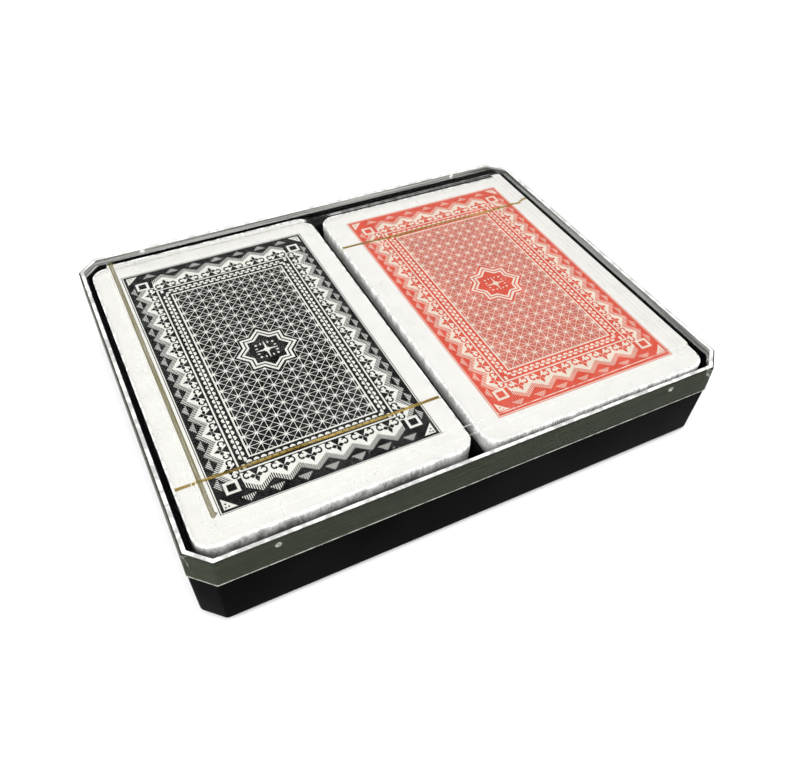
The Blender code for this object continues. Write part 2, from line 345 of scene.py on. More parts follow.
def clear_plastic(
    name,
    tint,
    painted_light_share=(0.0, 0.0),
    streaks=(1.0, 1.0, 1.0),
    painted_light_colour=(0.93, 0.93, 0.91),
    ior=LID_IOR,
    gloss=0.15,
):
    """Polystyrene with a slight cast, a gloss skin, hairline scratches and a soft ripple.

    The least and the most share of a diffuse layer, in streaks of one colour, paint the light and shade
    that refraction shows at the lid's rim, edges, skirt and panel wall: a painted highlight where the
    colour is pale, painted shade where it is dark.
    """
    g = Graph(name)
    ripple = g.noise(scale=45.0, detail=2.0)
    scratch = g.noise(scale=520.0, detail=4.0, roughness=0.7, vector=g.place((1.0, 0.06, 1.0)))
    height = g.calculate("ADD", g.spread(scratch, usual=(0.68, 0.8)), ripple)
    normal = g.bump(height, strength=0.05, distance=0.00005)
    darker = tuple(0.98 * channel for channel in tint)
    clear = g.node(
        "BsdfPrincipled",
        {
            "Base Color": g.blend(g.spread(ripple), darker, tint),
            "Roughness": g.spread(scratch, to=(0.0, 0.06), usual=(0.45, 0.8)),
            "IOR": ior,
            "Transmission Weight": 1.0,
            "Coat Weight": gloss,
            "Coat Roughness": 0.03,
            "Coat IOR": 1.35,
            "Normal": normal,
        },
    )
    surface = clear.outputs["BSDF"]
    if painted_light_share[1]:
        # Painted light and shade: a diffuse sheet in streaks over the clear plastic.
        streak = g.noise(scale=420.0, detail=3.0, roughness=0.6, vector=g.place(streaks))
        painted_light_sheet = g.node("BsdfDiffuse", {"Color": (*painted_light_colour, 1.0), "Normal": normal})
        share = g.spread(streak, to=painted_light_share, usual=(0.44, 0.64))
        surface = g.layer(share, surface, painted_light_sheet.outputs["BSDF"])
    path = g.node("LightPath")
    unseen = g.calculate(
        "MAXIMUM", path.outputs["Is Shadow Ray"], path.outputs["Is Diffuse Ray"]
    )
    return g.finish(g.layer(unseen, surface, g.see_through(CLEAR_TINT)))


def film(name, painted_light_share, streak_scale, painted_light_below=0.0):
    """Thin cellophane: it mostly shows what is behind, and mirrors more at grazing angles.

    Its white streaks, a share within the given range, are painted sheen and painted light, strongest at
    the top of the pack's sides where the light falls; the share given for below is how much of that is
    left further down. It is also paler along fine creases.
    """
    g = Graph(name)
    crinkle = g.noise(scale=160.0, detail=3.0, roughness=0.6, vector=g.place((1.0, 0.35, 1.0)))
    streak = g.noise(
        scale=streak_scale, detail=6.0, roughness=0.75, vector=g.place((1.0, 1.0, 0.35))
    )
    wander = g.noise(scale=70.0, detail=4.0, roughness=0.6, vector=g.place((1.6, 0.4, 1.0)))
    normal = g.bump(crinkle, strength=0.25, distance=0.0004)
    facing = g.node("LayerWeight", {"Blend": 0.5, "Normal": normal})
    grazing = g.calculate("POWER", facing.outputs["Facing"], 5.0)
    gloss = g.node(
        "BsdfPrincipled",
        {
            "Base Color": (0.9, 0.9, 0.9, 1.0),
            "Metallic": 1.0,
            "Roughness": g.spread(crinkle, to=(0.1, 0.3)),
            "Normal": normal,
        },
    )
    share = g.spread(grazing, to=(0.003, 0.15), usual=(0.0, 1.0))
    clear = g.layer(share, g.see_through(CLEAR_TINT), gloss.outputs["BSDF"])
    # Painted light and painted sheen: white streaks, strongest at the top of the sides where the light
    # falls, fading downwards.
    height = g.node("SeparateXYZ", {"Vector": g.place()}).outputs["Z"]
    near_top = g.spread(height, to=(painted_light_below, 1.0), usual=(PAINTED_LIGHT_FROM * MM, PACK_TOP * MM))
    painted_top_sheen = g.calculate("MULTIPLY", g.spread(streak, to=painted_light_share, usual=(0.42, 0.6)), near_top)
    crease = g.calculate("COMPARE", wander, 0.5, 0.001)
    creased = g.spread(crease, to=(0.0, 0.15), usual=(0.0, 1.0))
    whitened = g.calculate("MAXIMUM", painted_top_sheen, creased)
    white = g.node("BsdfDiffuse", {"Color": (0.8, 0.8, 0.79, 1.0), "Normal": normal})
    return g.finish(g.layer(whitened, clear, white.outputs["BSDF"]))


def gold_strip():
    """A gold-printed strip of film that lets a little of what is behind it through."""
    g = Graph("tear_strip_gold")
    streak = g.noise(scale=400.0, detail=4.0, roughness=0.6, vector=g.place((0.2, 3.0, 1.0)))
    gold = g.node(
        "BsdfPrincipled",
        {
            "Base Color": g.blend(g.spread(streak), (0.75, 0.54, 0.13), (0.95, 0.76, 0.3)),
            "Metallic": 0.2,
            "Roughness": g.spread(streak, to=(0.2, 0.4)),
            "Normal": g.bump(streak, strength=0.2, distance=0.00003),
        },
    )
    through = g.see_through((0.95, 0.82, 0.45))
    return g.finish(g.layer(g.spread(streak, to=(0.02, 0.3)), through, gold.outputs["BSDF"]))


def coated(name, dark, light, roughness=0.35, gloss=0.15, grain=(1.0, 1.0, 1.0)):
    """Coated card stock or ink on it, with a mottle stretched by grain and a fine embossed tooth."""
    g = Graph(name)
    mottle = g.noise(scale=250.0, detail=5.0, roughness=0.6, vector=g.place(grain))
    tooth = g.noise(scale=3500.0, detail=2.0)
    shader = g.node(
        "BsdfPrincipled",
        {
            "Base Color": g.blend(g.spread(mottle), dark, light),
            "Roughness": g.spread(tooth, to=(roughness - 0.06, roughness + 0.08)),
            "Specular IOR Level": gloss,
            "Normal": g.bump(tooth, strength=0.08, distance=0.00002),
        },
    )
    return g.finish(shader.outputs["BSDF"])


def floor_material():
    """Pale studio card with a very faint cloud."""
    g = Graph("floor_pale")
    cloud = g.noise(scale=3.0, detail=2.0)
    shader = g.node(
        "BsdfPrincipled",
        {
            "Base Color": g.blend(g.spread(cloud), (0.72, 0.72, 0.72), (0.76, 0.76, 0.76)),
            "Roughness": 0.9,
            "Specular IOR Level": 0.1,
        },
    )
    return g.finish(shader.outputs["BSDF"])


def lid_materials():
    """The look of each zone of the lid: clear plastic, with painted highlight on the rim and edges and
    painted shade on the skirt and along the panel's left wall.
    """
    glass = (0.994, 0.994, 0.988)
    return {
        FLAT: clear_plastic("lid_clear_plastic", glass),
        # Painted highlight: the white band along the rim, which refraction through the skirt shows.
        RIM: clear_plastic("lid_rim_painted_highlight", glass, painted_light_share=(0.4, 0.95), ior=SKIRT_IOR),
        # Painted highlight: pale lines along the rounded edges, the skirt's cut edge and the snap
        # dimples.
        EDGE: clear_plastic("lid_edge_painted_highlight", glass, painted_light_share=(0.35, 0.95), painted_light_colour=(0.45, 0.46, 0.41)),
        # Painted shade: a dark olive sheet in streaks over the skirt, where the black tray behind it
        # and the wall seen edge-on look dark.
        SKIRT: clear_plastic(
            "lid_skirt_painted_shade",
            (0.92, 0.94, 0.86),
            painted_light_share=(0.6, 0.95),
            streaks=(0.05, 0.05, 3.0),
            painted_light_colour=(0.032, 0.037, 0.026),
            ior=SKIRT_IOR,
            gloss=0.06,
        ),
        # Painted shade: a dark olive streaky line along the top of the panel at its left wall.
        PANEL_LEFT: clear_plastic(
            "lid_panel_left_painted_shade",
            glass,
            painted_light_share=(0.72, 1.0),
            streaks=(6.0, 0.12, 1.0),
            painted_light_colour=(0.1, 0.084, 0.028),
        ),
    }


def print_materials(side):
    """The ink, the ground and the field's ink on one pack's backs."""
    if side == "left":
        return {
            INK: coated("ink_black", (0.002, 0.002, 0.0022), (0.005, 0.005, 0.0055), gloss=INK_GLOSS),
            PAPER: coated("print_ground_white", (0.52, 0.52, 0.5), (0.6, 0.6, 0.58)),
            FIELD_INK: coated(
                "field_ink_black", (0.002, 0.002, 0.0022), (0.004, 0.004, 0.0045), gloss=INK_GLOSS
            ),
        }
    return {
        INK: coated("ink_red", (0.42, 0.05, 0.03), (0.5, 0.075, 0.05), gloss=INK_GLOSS),
        PAPER: coated("print_ground_cream", (0.5, 0.44, 0.38), (0.58, 0.52, 0.45)),
        FIELD_INK: coated(
            "field_ink_red", (0.36, 0.09, 0.07), (0.44, 0.13, 0.1), gloss=INK_GLOSS
        ),
    }


def counter_clockwise(points):
    area = sum(a[0] * b[1] - b[0] * a[1] for a, b in zip(points, points[1:] + points[:1]))
    return points if area > 0 else points[::-1]


def rounded(corners, radius, steps):
    """The points of a convex outline, listed counter-clockwise, with an arc at each corner."""
    points = []
    for i, corner in enumerate(corners):
        before = (corner - corners[i - 1]).normalized()
        after = (corners[(i + 1) % len(corners)] - corner).normalized()
        turn = before.angle(after)
        inward = Vector((-before.y, before.x))
        centre = corner - before * radius * math.tan(turn / 2) + inward * radius
        for step in range(steps + 1):
            angle = turn * step / steps
            along = before * math.sin(angle) - inward * math.cos(angle)
            points.append(centre + along * radius)
    return points


def chamfered_rectangle(outline, offset, radius=PLAN_CORNER_RADIUS, steps=6):
    """A rectangle with chamfered corners, moved outwards by offset with even walls all round."""
    half_x = outline[0] + offset
    half_y = outline[1] + offset
    cut = max(outline[2] + offset * (2 - math.sqrt(2)), radius)
    corners = [
        (half_x, -half_y + cut),
        (half_x, half_y - cut),
        (half_x - cut, half_y),
        (-half_x + cut, half_y),
        (-half_x, half_y - cut),
        (-half_x, -half_y + cut),
        (-half_x + cut, -half_y),
        (half_x - cut, -half_y),
    ]
    return rounded([Vector(corner) for corner in corners], radius, steps)


def card_outline(grow=0.0, steps=8):
    half_x = CARD[0] / 2 + grow
    half_y = CARD[1] / 2 + grow
    corners = [(half_x, -half_y), (half_x, half_y), (-half_x, half_y), (-half_x, -half_y)]
    return rounded([Vector(corner) for corner in corners], CARD_CORNER + grow, steps)


def rectangle(x0, x1, y0, y1):
    return [(x0, y0), (x1, y0), (x1, y1), (x0, y1)]


def quarter(half_x, half_y):
    """A rectangle round the middle, as it is in one quarter of the print."""
    return rectangle(0.0, half_x, 0.0, half_y)


def lozenge(x, y, half_x, half_y):
    return [(x - half_x, y), (x, y - half_y), (x + half_x, y), (x, y + half_y)]


def quarter_band(x0, x1, y0, y1):
    """A band round the middle, as it is in one quarter of the print."""
    return [(x0, 0.0), (x1, 0.0), (x1, y1), (0.0, y1), (0.0, y0), (x0, y0)]


def star(centre, rays, waist, tip):
    """Rays to the given lengths at each eighth of a turn, with narrow flat tips."""
    points = []
    for i in range(8):
        angle = math.pi / 4 * i
        length = rays[i % 4]
        along = Vector((math.cos(angle), math.sin(angle)))
        across = Vector((-along.y, along.x))
        notch = angle - math.pi / 8
        points.append(Vector((math.cos(notch), math.sin(notch))) * waist)
        points.append(along * length - across * tip / 2)
        points.append(along * length + across * tip / 2)
    return [(centre[0] + p.x, centre[1] + p.y) for p in points]


def lattice():
    """Stars whose rays meet their neighbours', over the field."""
    shapes = [(quarter(*FIELD), FIELD_INK)]
    step_x, step_y = STAR_PITCH
    diagonal = math.hypot(step_x, step_y) / 2
    rays = (step_x / 2, diagonal, step_y / 2, diagonal)
    for i in range(STAR_COUNT[0]):
        for j in range(STAR_COUNT[1]):
            centre = (i * step_x, j * step_y)
            if centre[0] + centre[1] < STARS_FROM:
                continue
            shapes.append((star(centre, rays, STAR_WAIST, STAR_TIP), PAPER))
    return shapes


def octagram(square, diamond):
    """A square and a diamond laid over each other, slightly taller than wide."""
    corner = [
        (diamond, 0.0),
        (square, diamond - square),
        (square, square),
        (diamond - square, square),
    ]
    points = []
    for turn in range(4):
        for x, y in corner:
            for _ in range(turn):
                x, y = -y, x
            points.append((x, y * MEDALLION_STRETCH))
    return points


def medallion():
    """Nested octagrams with a star and lozenges in the middle."""
    shapes = [(octagram(square, diamond), tone) for square, diamond, tone in MEDALLION_RINGS]
    middle = star((0.0, 0.0), MEDALLION_RAYS, MEDALLION_WAIST, MEDALLION_TIP)
    shapes.append((middle, PAPER))
    shapes += [(lozenge(*place), PAPER) for place in MEDALLION_LOZENGES]
    return shapes


def half_disc(centre, facing, radius, steps=6):
    """A half disc that bulges towards facing, an angle."""
    points = []
    for step in range(steps + 1):
        angle = facing - math.pi / 2 + math.pi * step / steps
        points.append((centre[0] + radius * math.cos(angle), centre[1] + radius * math.sin(angle)))
    return points


def frame_band():
    """The checked band round the field and the fine lines beside it."""
    shapes = [(quarter_band(FIELD[0], FRAME_OUTER[0], FIELD[1], FRAME_OUTER[1]), INK)]
    for x0, x1, y0, y1, tone in FRAME_LINES:
        shapes.append((quarter_band(x0, x1, y0, y1), tone))
    across, along = CHECK_CENTRE
    for side in (-1, 1):
        shift = CHECK_PITCH / 4 * (1 - side)
        for k in range(CHECK_COUNT[1]):
            centre = (across + side * CHECK_GAP, k * CHECK_PITCH + shift)
            facing = 0.0 if side > 0 else math.pi
            shapes.append((half_disc(centre, facing, CHECK_RADIUS), PAPER))
        for k in range(CHECK_COUNT[0]):
            centre = (k * CHECK_PITCH + shift, along + side * CHECK_GAP)
            shapes.append((half_disc(centre, side * math.pi / 2, CHECK_RADIUS), PAPER))
    shapes.append((rectangle(*CHECK_CORNER), PAPER))
    return shapes


def curl(steps=7):
    """A ring with a gap, wider towards its end."""
    outer, inner = [], []
    start, end = CURL_ANGLES
    for step in range(steps + 1):
        share = step / steps
        angle = math.radians(start + (end - start) * step / steps)
        reach = CURL_RADIUS - CURL_WIDTH * (CURL_TAPER + (1 - CURL_TAPER) * share)
        for points, radius in ((outer, CURL_RADIUS), (inner, reach)):
            x = CURL_CENTRE[0] + radius * math.cos(angle)
            y = CURL_CENTRE[1] + radius * math.sin(angle)
            points.append((x, y))
    return outer + inner[::-1]


def motif(scale):
    """The figure in one tooth, as points along the side and outwards from the frame."""
    shapes = list(MOTIF_MIDDLE)
    for side in (-1, 1):
        for shape in (curl(), MOTIF_FOOT):
            shapes.append([(side * along, out) for along, out in shape])
    return [[(along, out * scale) for along, out in shape] for shape in shapes]


def side_border(border, on_long_side):
    """Teeth along one side, as far as the corner square."""
    pitch = border.pitch

    def turned(points):
        return [(out, along) if on_long_side else (along, out) for along, out in points]

    def edge(along, depth):
        inside = abs(along % pitch - pitch / 2) / (pitch / 2)
        return border.apex + (border.valley - border.apex) * inside - depth

    shapes = []
    bars = int(pitch * border.teeth / HATCH_PITCH)
    for k in range(bars):
        low = (k + 0.5) * pitch * border.teeth / bars - HATCH_WIDTH / 2
        high = low + HATCH_WIDTH
        bar = [
            (low, edge(low, HATCH_BAND)),
            (high, edge(high, HATCH_BAND)),
            (high, edge(high, 0)),
            (low, edge(low, 0)),
        ]
        shapes.append((turned(bar), PAPER))
    for k in range(border.teeth + 1):
        for bar in range(-HATCH_BARS, HATCH_BARS + 1):
            low = k * pitch + bar * HATCH_PITCH - HATCH_WIDTH / 2
            high = low + HATCH_WIDTH
            rise = border.hatch_tip - border.hatch_base
            reach = [
                border.hatch_base + rise * (1 - abs(along - k * pitch) / HATCH_REACH)
                for along in (low, high)
            ]
            base = border.hatch_base
            points = [(low, base), (high, base), (high, reach[1]), (low, reach[0])]
            shapes.append((turned(points), PAPER))
    ground = [(0.0, border.root)]
    for k in range(border.teeth):
        ground.append((k * pitch, edge(k * pitch, HATCH_BAND)))
        ground.append(((k + 0.5) * pitch, edge((k + 0.5) * pitch, HATCH_BAND)))
    end = border.teeth * pitch
    ground += [(end, edge(end, HATCH_BAND)), (end, border.root)]
    shapes.append((turned(ground), PAPER))
    scale = (border.apex - HATCH_BAND - border.root) / MOTIF_HEIGHT
    for k in range(border.teeth):
        for shape in motif(scale):
            moved = [(along + (k + 0.5) * pitch, out + border.root) for along, out in shape]
            shapes.append((turned(moved), INK))
    return shapes


def corner_figures():
    """The square in the border's corner, and the dotted wedge outside it."""
    shapes = []
    x, y = CORNER_CENTRE
    for half, tone in CORNER_SQUARES:
        shapes.append((rectangle(x - half, x + half, y - half, y + half), tone))
    shapes.append((CORNER_WEDGE, PAPER))
    for place in CORNER_DOTS:
        shapes.append((lozenge(*place, CORNER_DOT, CORNER_DOT), INK))
    return shapes


def print_shapes():
    """Every shape in one quarter of the print, each painted over those before it."""
    return (
        [(quarter(*PRINT), INK), (quarter(*PRINT_LINE), PAPER), (quarter(*BAND), INK)]
        + side_border(LONG_BORDER, True)
        + side_border(SHORT_BORDER, False)
        + corner_figures()
        + lattice()
        + medallion()
        + frame_band()
    )


def partition(shapes):
    """Splits the plane along every shape's edge: the points, the triangles and each one's top shape."""
    points, faces = [], []
    for shape, _ in shapes:
        ring = counter_clockwise(list(shape))
        faces.append(list(range(len(points), len(points) + len(ring))))
        points += [Vector(p) for p in ring]
    out = delaunay_2d_cdt(points, [], faces, CDT_TRIANGLES, PRINT_MERGE, True)
    tops = [max(found) if found else None for found in out[5]]
    return out[0], out[2], tops


def printed_quarter():
    """The print's triangles in one quarter, each with its tone."""
    shapes = print_shapes()
    points, triangles, tops = partition(shapes)
    found = []
    for triangle, top in zip(triangles, tops):
        corners = [points[i] for i in triangle]
        middle = sum(corners, Vector((0.0, 0.0))) / len(corners)
        inside = 0 < middle.x < PRINT[0] and 0 < middle.y < PRINT[1]
        if top is not None and inside:
            found.append(([(p.x, p.y) for p in corners], shapes[top][1]))
    return found


def mirrored(quarter_triangles, offset):
    """The whole print from one quarter of it, off the card's centre by offset."""
    index, points, triangles, tones = {}, [], [], []

    def vertex(x, y):
        key = (round(x, 4), round(y, 4))
        if key not in index:
            index[key] = len(points)
            points.append((x + offset[0], y + offset[1]))
        return index[key]

    for sign_x in (1, -1):
        for sign_y in (1, -1):
            for corners, tone in quarter_triangles:
                face = [vertex(sign_x * x, sign_y * y) for x, y in corners]
                if len(set(face)) < 3:
                    continue
                triangles.append(face if sign_x * sign_y > 0 else face[::-1])
                tones.append(tone)
    return points, triangles, tones


def outer_loop(triangles):
    """The corners round the outside of a patch of triangles, in order."""
    open_edges = {}
    for face in triangles:
        for a, b in zip(face, face[1:] + face[:1]):
            if (b, a) in open_edges:
                del open_edges[b, a]
            else:
                open_edges[a, b] = True
    after = dict(open_edges.keys())
    loop = [next(iter(after))]
    while len(loop) < len(after):
        loop.append(after[loop[-1]])
    return loop


def printed_face(quarter_triangles, offset):
    """A card's whole face: points, triangles, tones, and the points round its rim in order."""
    points, triangles, tones = mirrored(quarter_triangles, offset)
    loop = outer_loop(triangles)
    corners = [Vector(points[i]) for i in loop] + card_outline()
    inner = list(range(len(loop)))
    outer = list(range(len(loop), len(corners)))
    out = delaunay_2d_cdt(corners, [], [inner, outer], CDT_TRIANGLES, MARGIN_MERGE, True)
    to_mesh, rim = {}, {}
    for i, sources in enumerate(out[3]):
        source = sources[0]
        if source < len(loop):
            to_mesh[i] = loop[source]
        else:
            to_mesh[i] = len(points)
            rim[source] = len(points)
            points.append(tuple(out[0][i]))
    for face, found in zip(out[2], out[5]):
        if list(found) == [1]:
            triangles.append([to_mesh[i] for i in face])
            tones.append(MARGIN)
    return points, triangles, tones, [rim[source] for source in sorted(rim)]


def pack_matrix(side):
    """Where a pack lies in the tray."""
    x, y, turn = PACKS[side]
    return Matrix.Translation((x * MM, y * MM, 0.0)) @ Matrix.Rotation(math.radians(turn), 4, "Z")


def add_piece(name, bm, materials, smooth_angle=None, matrix=None):
    """An object from a bmesh in millimetres, taken to metres and then by matrix."""
    bmesh.ops.scale(bm, vec=(MM, MM, MM), verts=bm.verts)
    mesh = bpy.data.meshes.new(name)
    bm.to_mesh(mesh)
    bm.free()
    for material in materials:
        mesh.materials.append(material)
    if smooth_angle is None:
        mesh.shade_flat()
    else:
        mesh.shade_smooth()
        mesh.set_sharp_from_angle(angle=math.radians(smooth_angle))
    if matrix is not None:
        mesh.transform(matrix)
    obj = bpy.data.objects.new(name, mesh)
    bpy.context.scene.collection.objects.link(obj)
    return obj


def make_printed_card(side, quarter_triangles, materials):
    """The top card, with the print as faces of its own on its upper side."""
    points, triangles, tones, rim = printed_face(quarter_triangles, PRINT_OFFSET[side])
    bm = bmesh.new()
    top = [bm.verts.new((x, y, CARDS_TOP)) for x, y in points]
    for face, tone in zip(triangles, tones):
        made = bm.faces.new([top[i] for i in face])
        made.material_index = TONE_MATERIALS[tone]
    low = [bm.verts.new((points[i][0], points[i][1], CARDS_TOP - CARD_THICKNESS)) for i in rim]
    for i in range(len(rim)):
        j = (i + 1) % len(rim)
        side_face = bm.faces.new((low[i], low[j], top[rim[j]], top[rim[i]]))
        side_face.material_index = CARD_EDGE_MATERIAL
    bottom = bm.faces.new(low[::-1])
    bottom.material_index = CARD_EDGE_MATERIAL
    card = add_piece(f"{side}_printed_card", bm, materials, matrix=pack_matrix(side))
    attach(card, f"{side}_pack")
    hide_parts(f"{side}_card_01")


def make_lower_cards(side, paper):
    """The rest of the deck, card by card, each a little out of line."""
    pick = random.Random(side)
    bm = bmesh.new()
    outline = card_outline(steps=5)
    for number in range(LOWER_CARDS):
        top = CARDS_TOP - (SINGLE_CARDS + number) * CARD_PITCH
        shift_x = pick.uniform(-CARD_STRAY, CARD_STRAY)
        shift_y = pick.uniform(-CARD_STRAY, CARD_STRAY)
        plan = [(point.x + shift_x, point.y + shift_y) for point in outline]
        upper = [bm.verts.new((x, y, top)) for x, y in plan]
        lower = [bm.verts.new((x, y, top - CARD_THICKNESS)) for x, y in plan]
        bm.faces.new(upper)
        bm.faces.new(lower[::-1])
        for i in range(len(outline)):
            j = (i + 1) % len(outline)
            bm.faces.new((lower[i], lower[j], upper[j], upper[i]))
    cards = add_piece(f"{side}_deck_lower", bm, [paper], matrix=pack_matrix(side))
    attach(cards, f"{side}_pack")
    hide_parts(f"{side}_lower_cards")


def arc(outline, offset, height, radius, start, end, steps=6):
    """Stations round an arc whose centre is at this offset and height; 0 degrees points outwards."""
    stations = []
    for step in range(steps + 1):
        angle = math.radians(start + (end - start) * step / steps)
        stations.append(
            (outline, offset + radius * math.cos(angle), height + radius * math.sin(angle))
        )
    return stations


def moulding(stations, looks=None, radius=PLAN_CORNER_RADIUS):
    """A closed skin through one ring of points for each station. looks gives each band's material."""
    bm = bmesh.new()
    rings = []
    for outline, offset, height in stations:
        plan = chamfered_rectangle(outline, offset, radius)
        rings.append([bm.verts.new((point.x, point.y, height)) for point in plan])
    for number, (lower, upper) in enumerate(zip(rings, rings[1:])):
        for i in range(len(lower)):
            j = (i + 1) % len(lower)
            face = bm.faces.new((lower[i], lower[j], upper[j], upper[i]))
            face.material_index = looks[number] if looks else 0
    bm.faces.new(rings[0])
    bm.faces.new(rings[-1])
    bmesh.ops.recalc_face_normals(bm, faces=bm.faces)
    return bm


def ball(bm, radius, centre, zone):
    """Adds a ball whose faces take the look of zone."""
    made = bmesh.ops.create_uvsphere(bm, u_segments=32, v_segments=16, radius=radius)["verts"]
    bmesh.ops.translate(bm, verts=made, vec=centre)
    for face in {face for vert in made for face in vert.link_faces}:
        face.material_index = zone


def disc(bm, radius, centre, low, high):
    """Adds an upright cylinder."""
    made = bmesh.ops.create_cone(
        bm, cap_ends=True, segments=48, radius1=radius, radius2=radius, depth=high - low
    )["verts"]
    bmesh.ops.translate(bm, verts=made, vec=(*centre, (low + high) / 2))


def cut_with(obj, bm, operation):
    """A Boolean with a tool built in millimetres, applied at once."""
    tool = add_piece("tool", bm, [])
    modifier = obj.modifiers.new("cut", "BOOLEAN")
    modifier.operation = operation
    modifier.object = tool
    graph = bpy.context.evaluated_depsgraph_get()
    made = bpy.data.meshes.new_from_object(obj.evaluated_get(graph))
    obj.modifiers.clear()
    obj.data = made
    bpy.data.objects.remove(tool)


def lid_stations():
    """Stations from the lid's ceiling round under the skirt and up to its panel, each with its zone."""
    inner = -SKIRT_THICKNESS
    ceiling = PANEL_TOP - PANEL_THICKNESS
    below = SHOULDER_TOP - SHOULDER_THICKNESS
    turn = LID_ROUND
    found = []

    def add(zone, stations):
        found.extend((station, zone) for station in stations)

    def add_lit_round(place, start, end):
        """A rounded edge whose middle third takes the edge's look, a painted highlight line."""
        third = (end - start) / 3
        for k, zone in enumerate((FLAT, EDGE, FLAT)):
            add(zone, arc(*place, start + k * third, start + (k + 1) * third, 3))

    add(FLAT, arc(PANEL, -PANEL_DRAFT - PANEL_THICKNESS - turn, ceiling - turn, turn, 90, 0))
    add(FLAT, arc(PANEL, -PANEL_THICKNESS + turn, below + turn, turn, 180, 270))
    add(FLAT, [(BODY, inner - SKIRT_DRAFT - SHOULDER_REACH, below)])
    add(FLAT, arc(BODY, inner - SKIRT_DRAFT - turn, below - turn, turn, 90, 0))
    add(FLAT, [(BODY, inner, SKIRT_BOTTOM), (BODY, -CUT_EDGE_UNDER, SKIRT_BOTTOM)])
    # Painted highlight: a pale line round the skirt's cut edge.
    add(EDGE, [(BODY, 0.0, SKIRT_BOTTOM), (BODY, 0.0, SKIRT_BOTTOM + CUT_EDGE_OUTSIDE)])
    # Painted shade on the skirt's outer wall and its round.
    add(SKIRT, arc(BODY, -SKIRT_DRAFT - turn, SHOULDER_TOP - turn, turn, 0, 90))
    # Painted highlight: the rim's white band, from the skirt's outer round to just past its inside.
    add(RIM, [(BODY, inner - RIM_OVERLAP, SHOULDER_TOP)])
    add_lit_round((PANEL, turn, SHOULDER_TOP + turn, turn), 270, 180)
    add_lit_round((PANEL, -PANEL_DRAFT - turn, PANEL_TOP - turn, turn), 0, 90)
    add(FLAT, [(PANEL, -PANEL_DRAFT - PANEL_THICKNESS, PANEL_TOP)])
    return found


def make_lid(looks):
    """The lid's shell, with a look for each zone, and its four snaps."""
    found = lid_stations()
    stations = [station for station, _ in found]
    zones = [zone for _, zone in found]
    shell = moulding(stations, zones[1:])
    # The top of the panel along its left wall takes painted shade, a dark line.
    for face in shell.faces:
        middle = face.calc_center_median()
        at_left = middle.x < -PANEL[0] + PANEL_THICKNESS + PANEL_DRAFT
        if at_left and middle.z > PANEL_TOP - LEVEL_TOLERANCE:
            face.material_index = PANEL_LEFT
    lid = add_piece("lid_shell", shell, [looks[zone] for zone in sorted(looks)], SMOOTH_ANGLE)
    bumps = bmesh.new()
    dimples = bmesh.new()
    lean = SKIRT_DRAFT * (SNAP_HEIGHT - SKIRT_BOTTOM) / (SHOULDER_TOP - SKIRT_BOTTOM)
    wall = BODY[1] - lean
    for x in (-SNAP_FROM_CENTRE, SNAP_FROM_CENTRE):
        for side in (-1, 1):
            bump_y = side * (wall - SKIRT_THICKNESS + BUMP_RADIUS - BUMP_HEIGHT)
            ball(bumps, BUMP_RADIUS, (x, bump_y, SNAP_HEIGHT), FLAT)
            dimple_y = side * (wall + DIMPLE_RADIUS - DIMPLE_DEPTH)
            # The dimples take the edges' painted highlight.
            ball(dimples, DIMPLE_RADIUS, (x, dimple_y, SNAP_HEIGHT), EDGE)
    cut_with(lid, bumps, "UNION")
    cut_with(lid, dimples, "DIFFERENCE")
    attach(lid, "lid")
    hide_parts("lid")


def tray_stations():
    """Stations from the recess underneath, out and up over the rim, and down to the inner floor."""
    rim = RIM_HEIGHT - RIM_ROUND
    ledge = LEDGE_HEIGHT - LEDGE_ROUND
    floor_round = FLOOR_TOP + FLOOR_ROUND
    return [
        (PANEL, RECESS_CLEARANCE - PANEL_DRAFT / 2, FOOT_RECESS),
        (PANEL, RECESS_CLEARANCE, 0.0),
        *arc(BODY, WALL_AT_FOOT - FOOT_RADIUS, FOOT_RADIUS, FOOT_RADIUS, -90, 0, FOOT_STEPS),
        *arc(BODY, WALL_AT_LEDGE - LEDGE_ROUND, ledge, LEDGE_ROUND, 0, 90),
        (BODY, UPPER_WALL_OUTER, LEDGE_HEIGHT),
        *arc(BODY, UPPER_WALL_OUTER - RIM_ROUND, rim, RIM_ROUND, 0, 90),
        *arc(BODY, UPPER_WALL_INNER + RIM_ROUND, rim, RIM_ROUND, 90, 180),
        *arc(BODY, INNER_WALL_AT_FLOOR - FLOOR_ROUND, floor_round, FLOOR_ROUND, 0, -90),
    ]


def make_rib():
    """The low rib between the bays, rounded along its top."""
    rib = bmesh.new()
    reach = BODY[1] + UPPER_WALL_INNER + RIB_INTO_WALL
    low, high = FLOOR_TOP - RIB_INTO_FLOOR, RIB_TOP
    block = bmesh.ops.create_cube(rib, size=1.0)["verts"]
    bmesh.ops.scale(rib, verts=block, vec=(RIB_THICKNESS, 2 * reach, high - low))
    bmesh.ops.translate(rib, verts=block, vec=(RIB_CENTRE, 0.0, (low + high) / 2))
    top_edges = [
        edge
        for edge in rib.edges
        if min(v.co.z for v in edge.verts) > high - RIB_ROUND
        and abs(edge.verts[0].co.y - edge.verts[1].co.y) > reach
    ]
    bmesh.ops.bevel(rib, geom=top_edges, offset=RIB_ROUND, segments=6, affect="EDGES")
    return rib


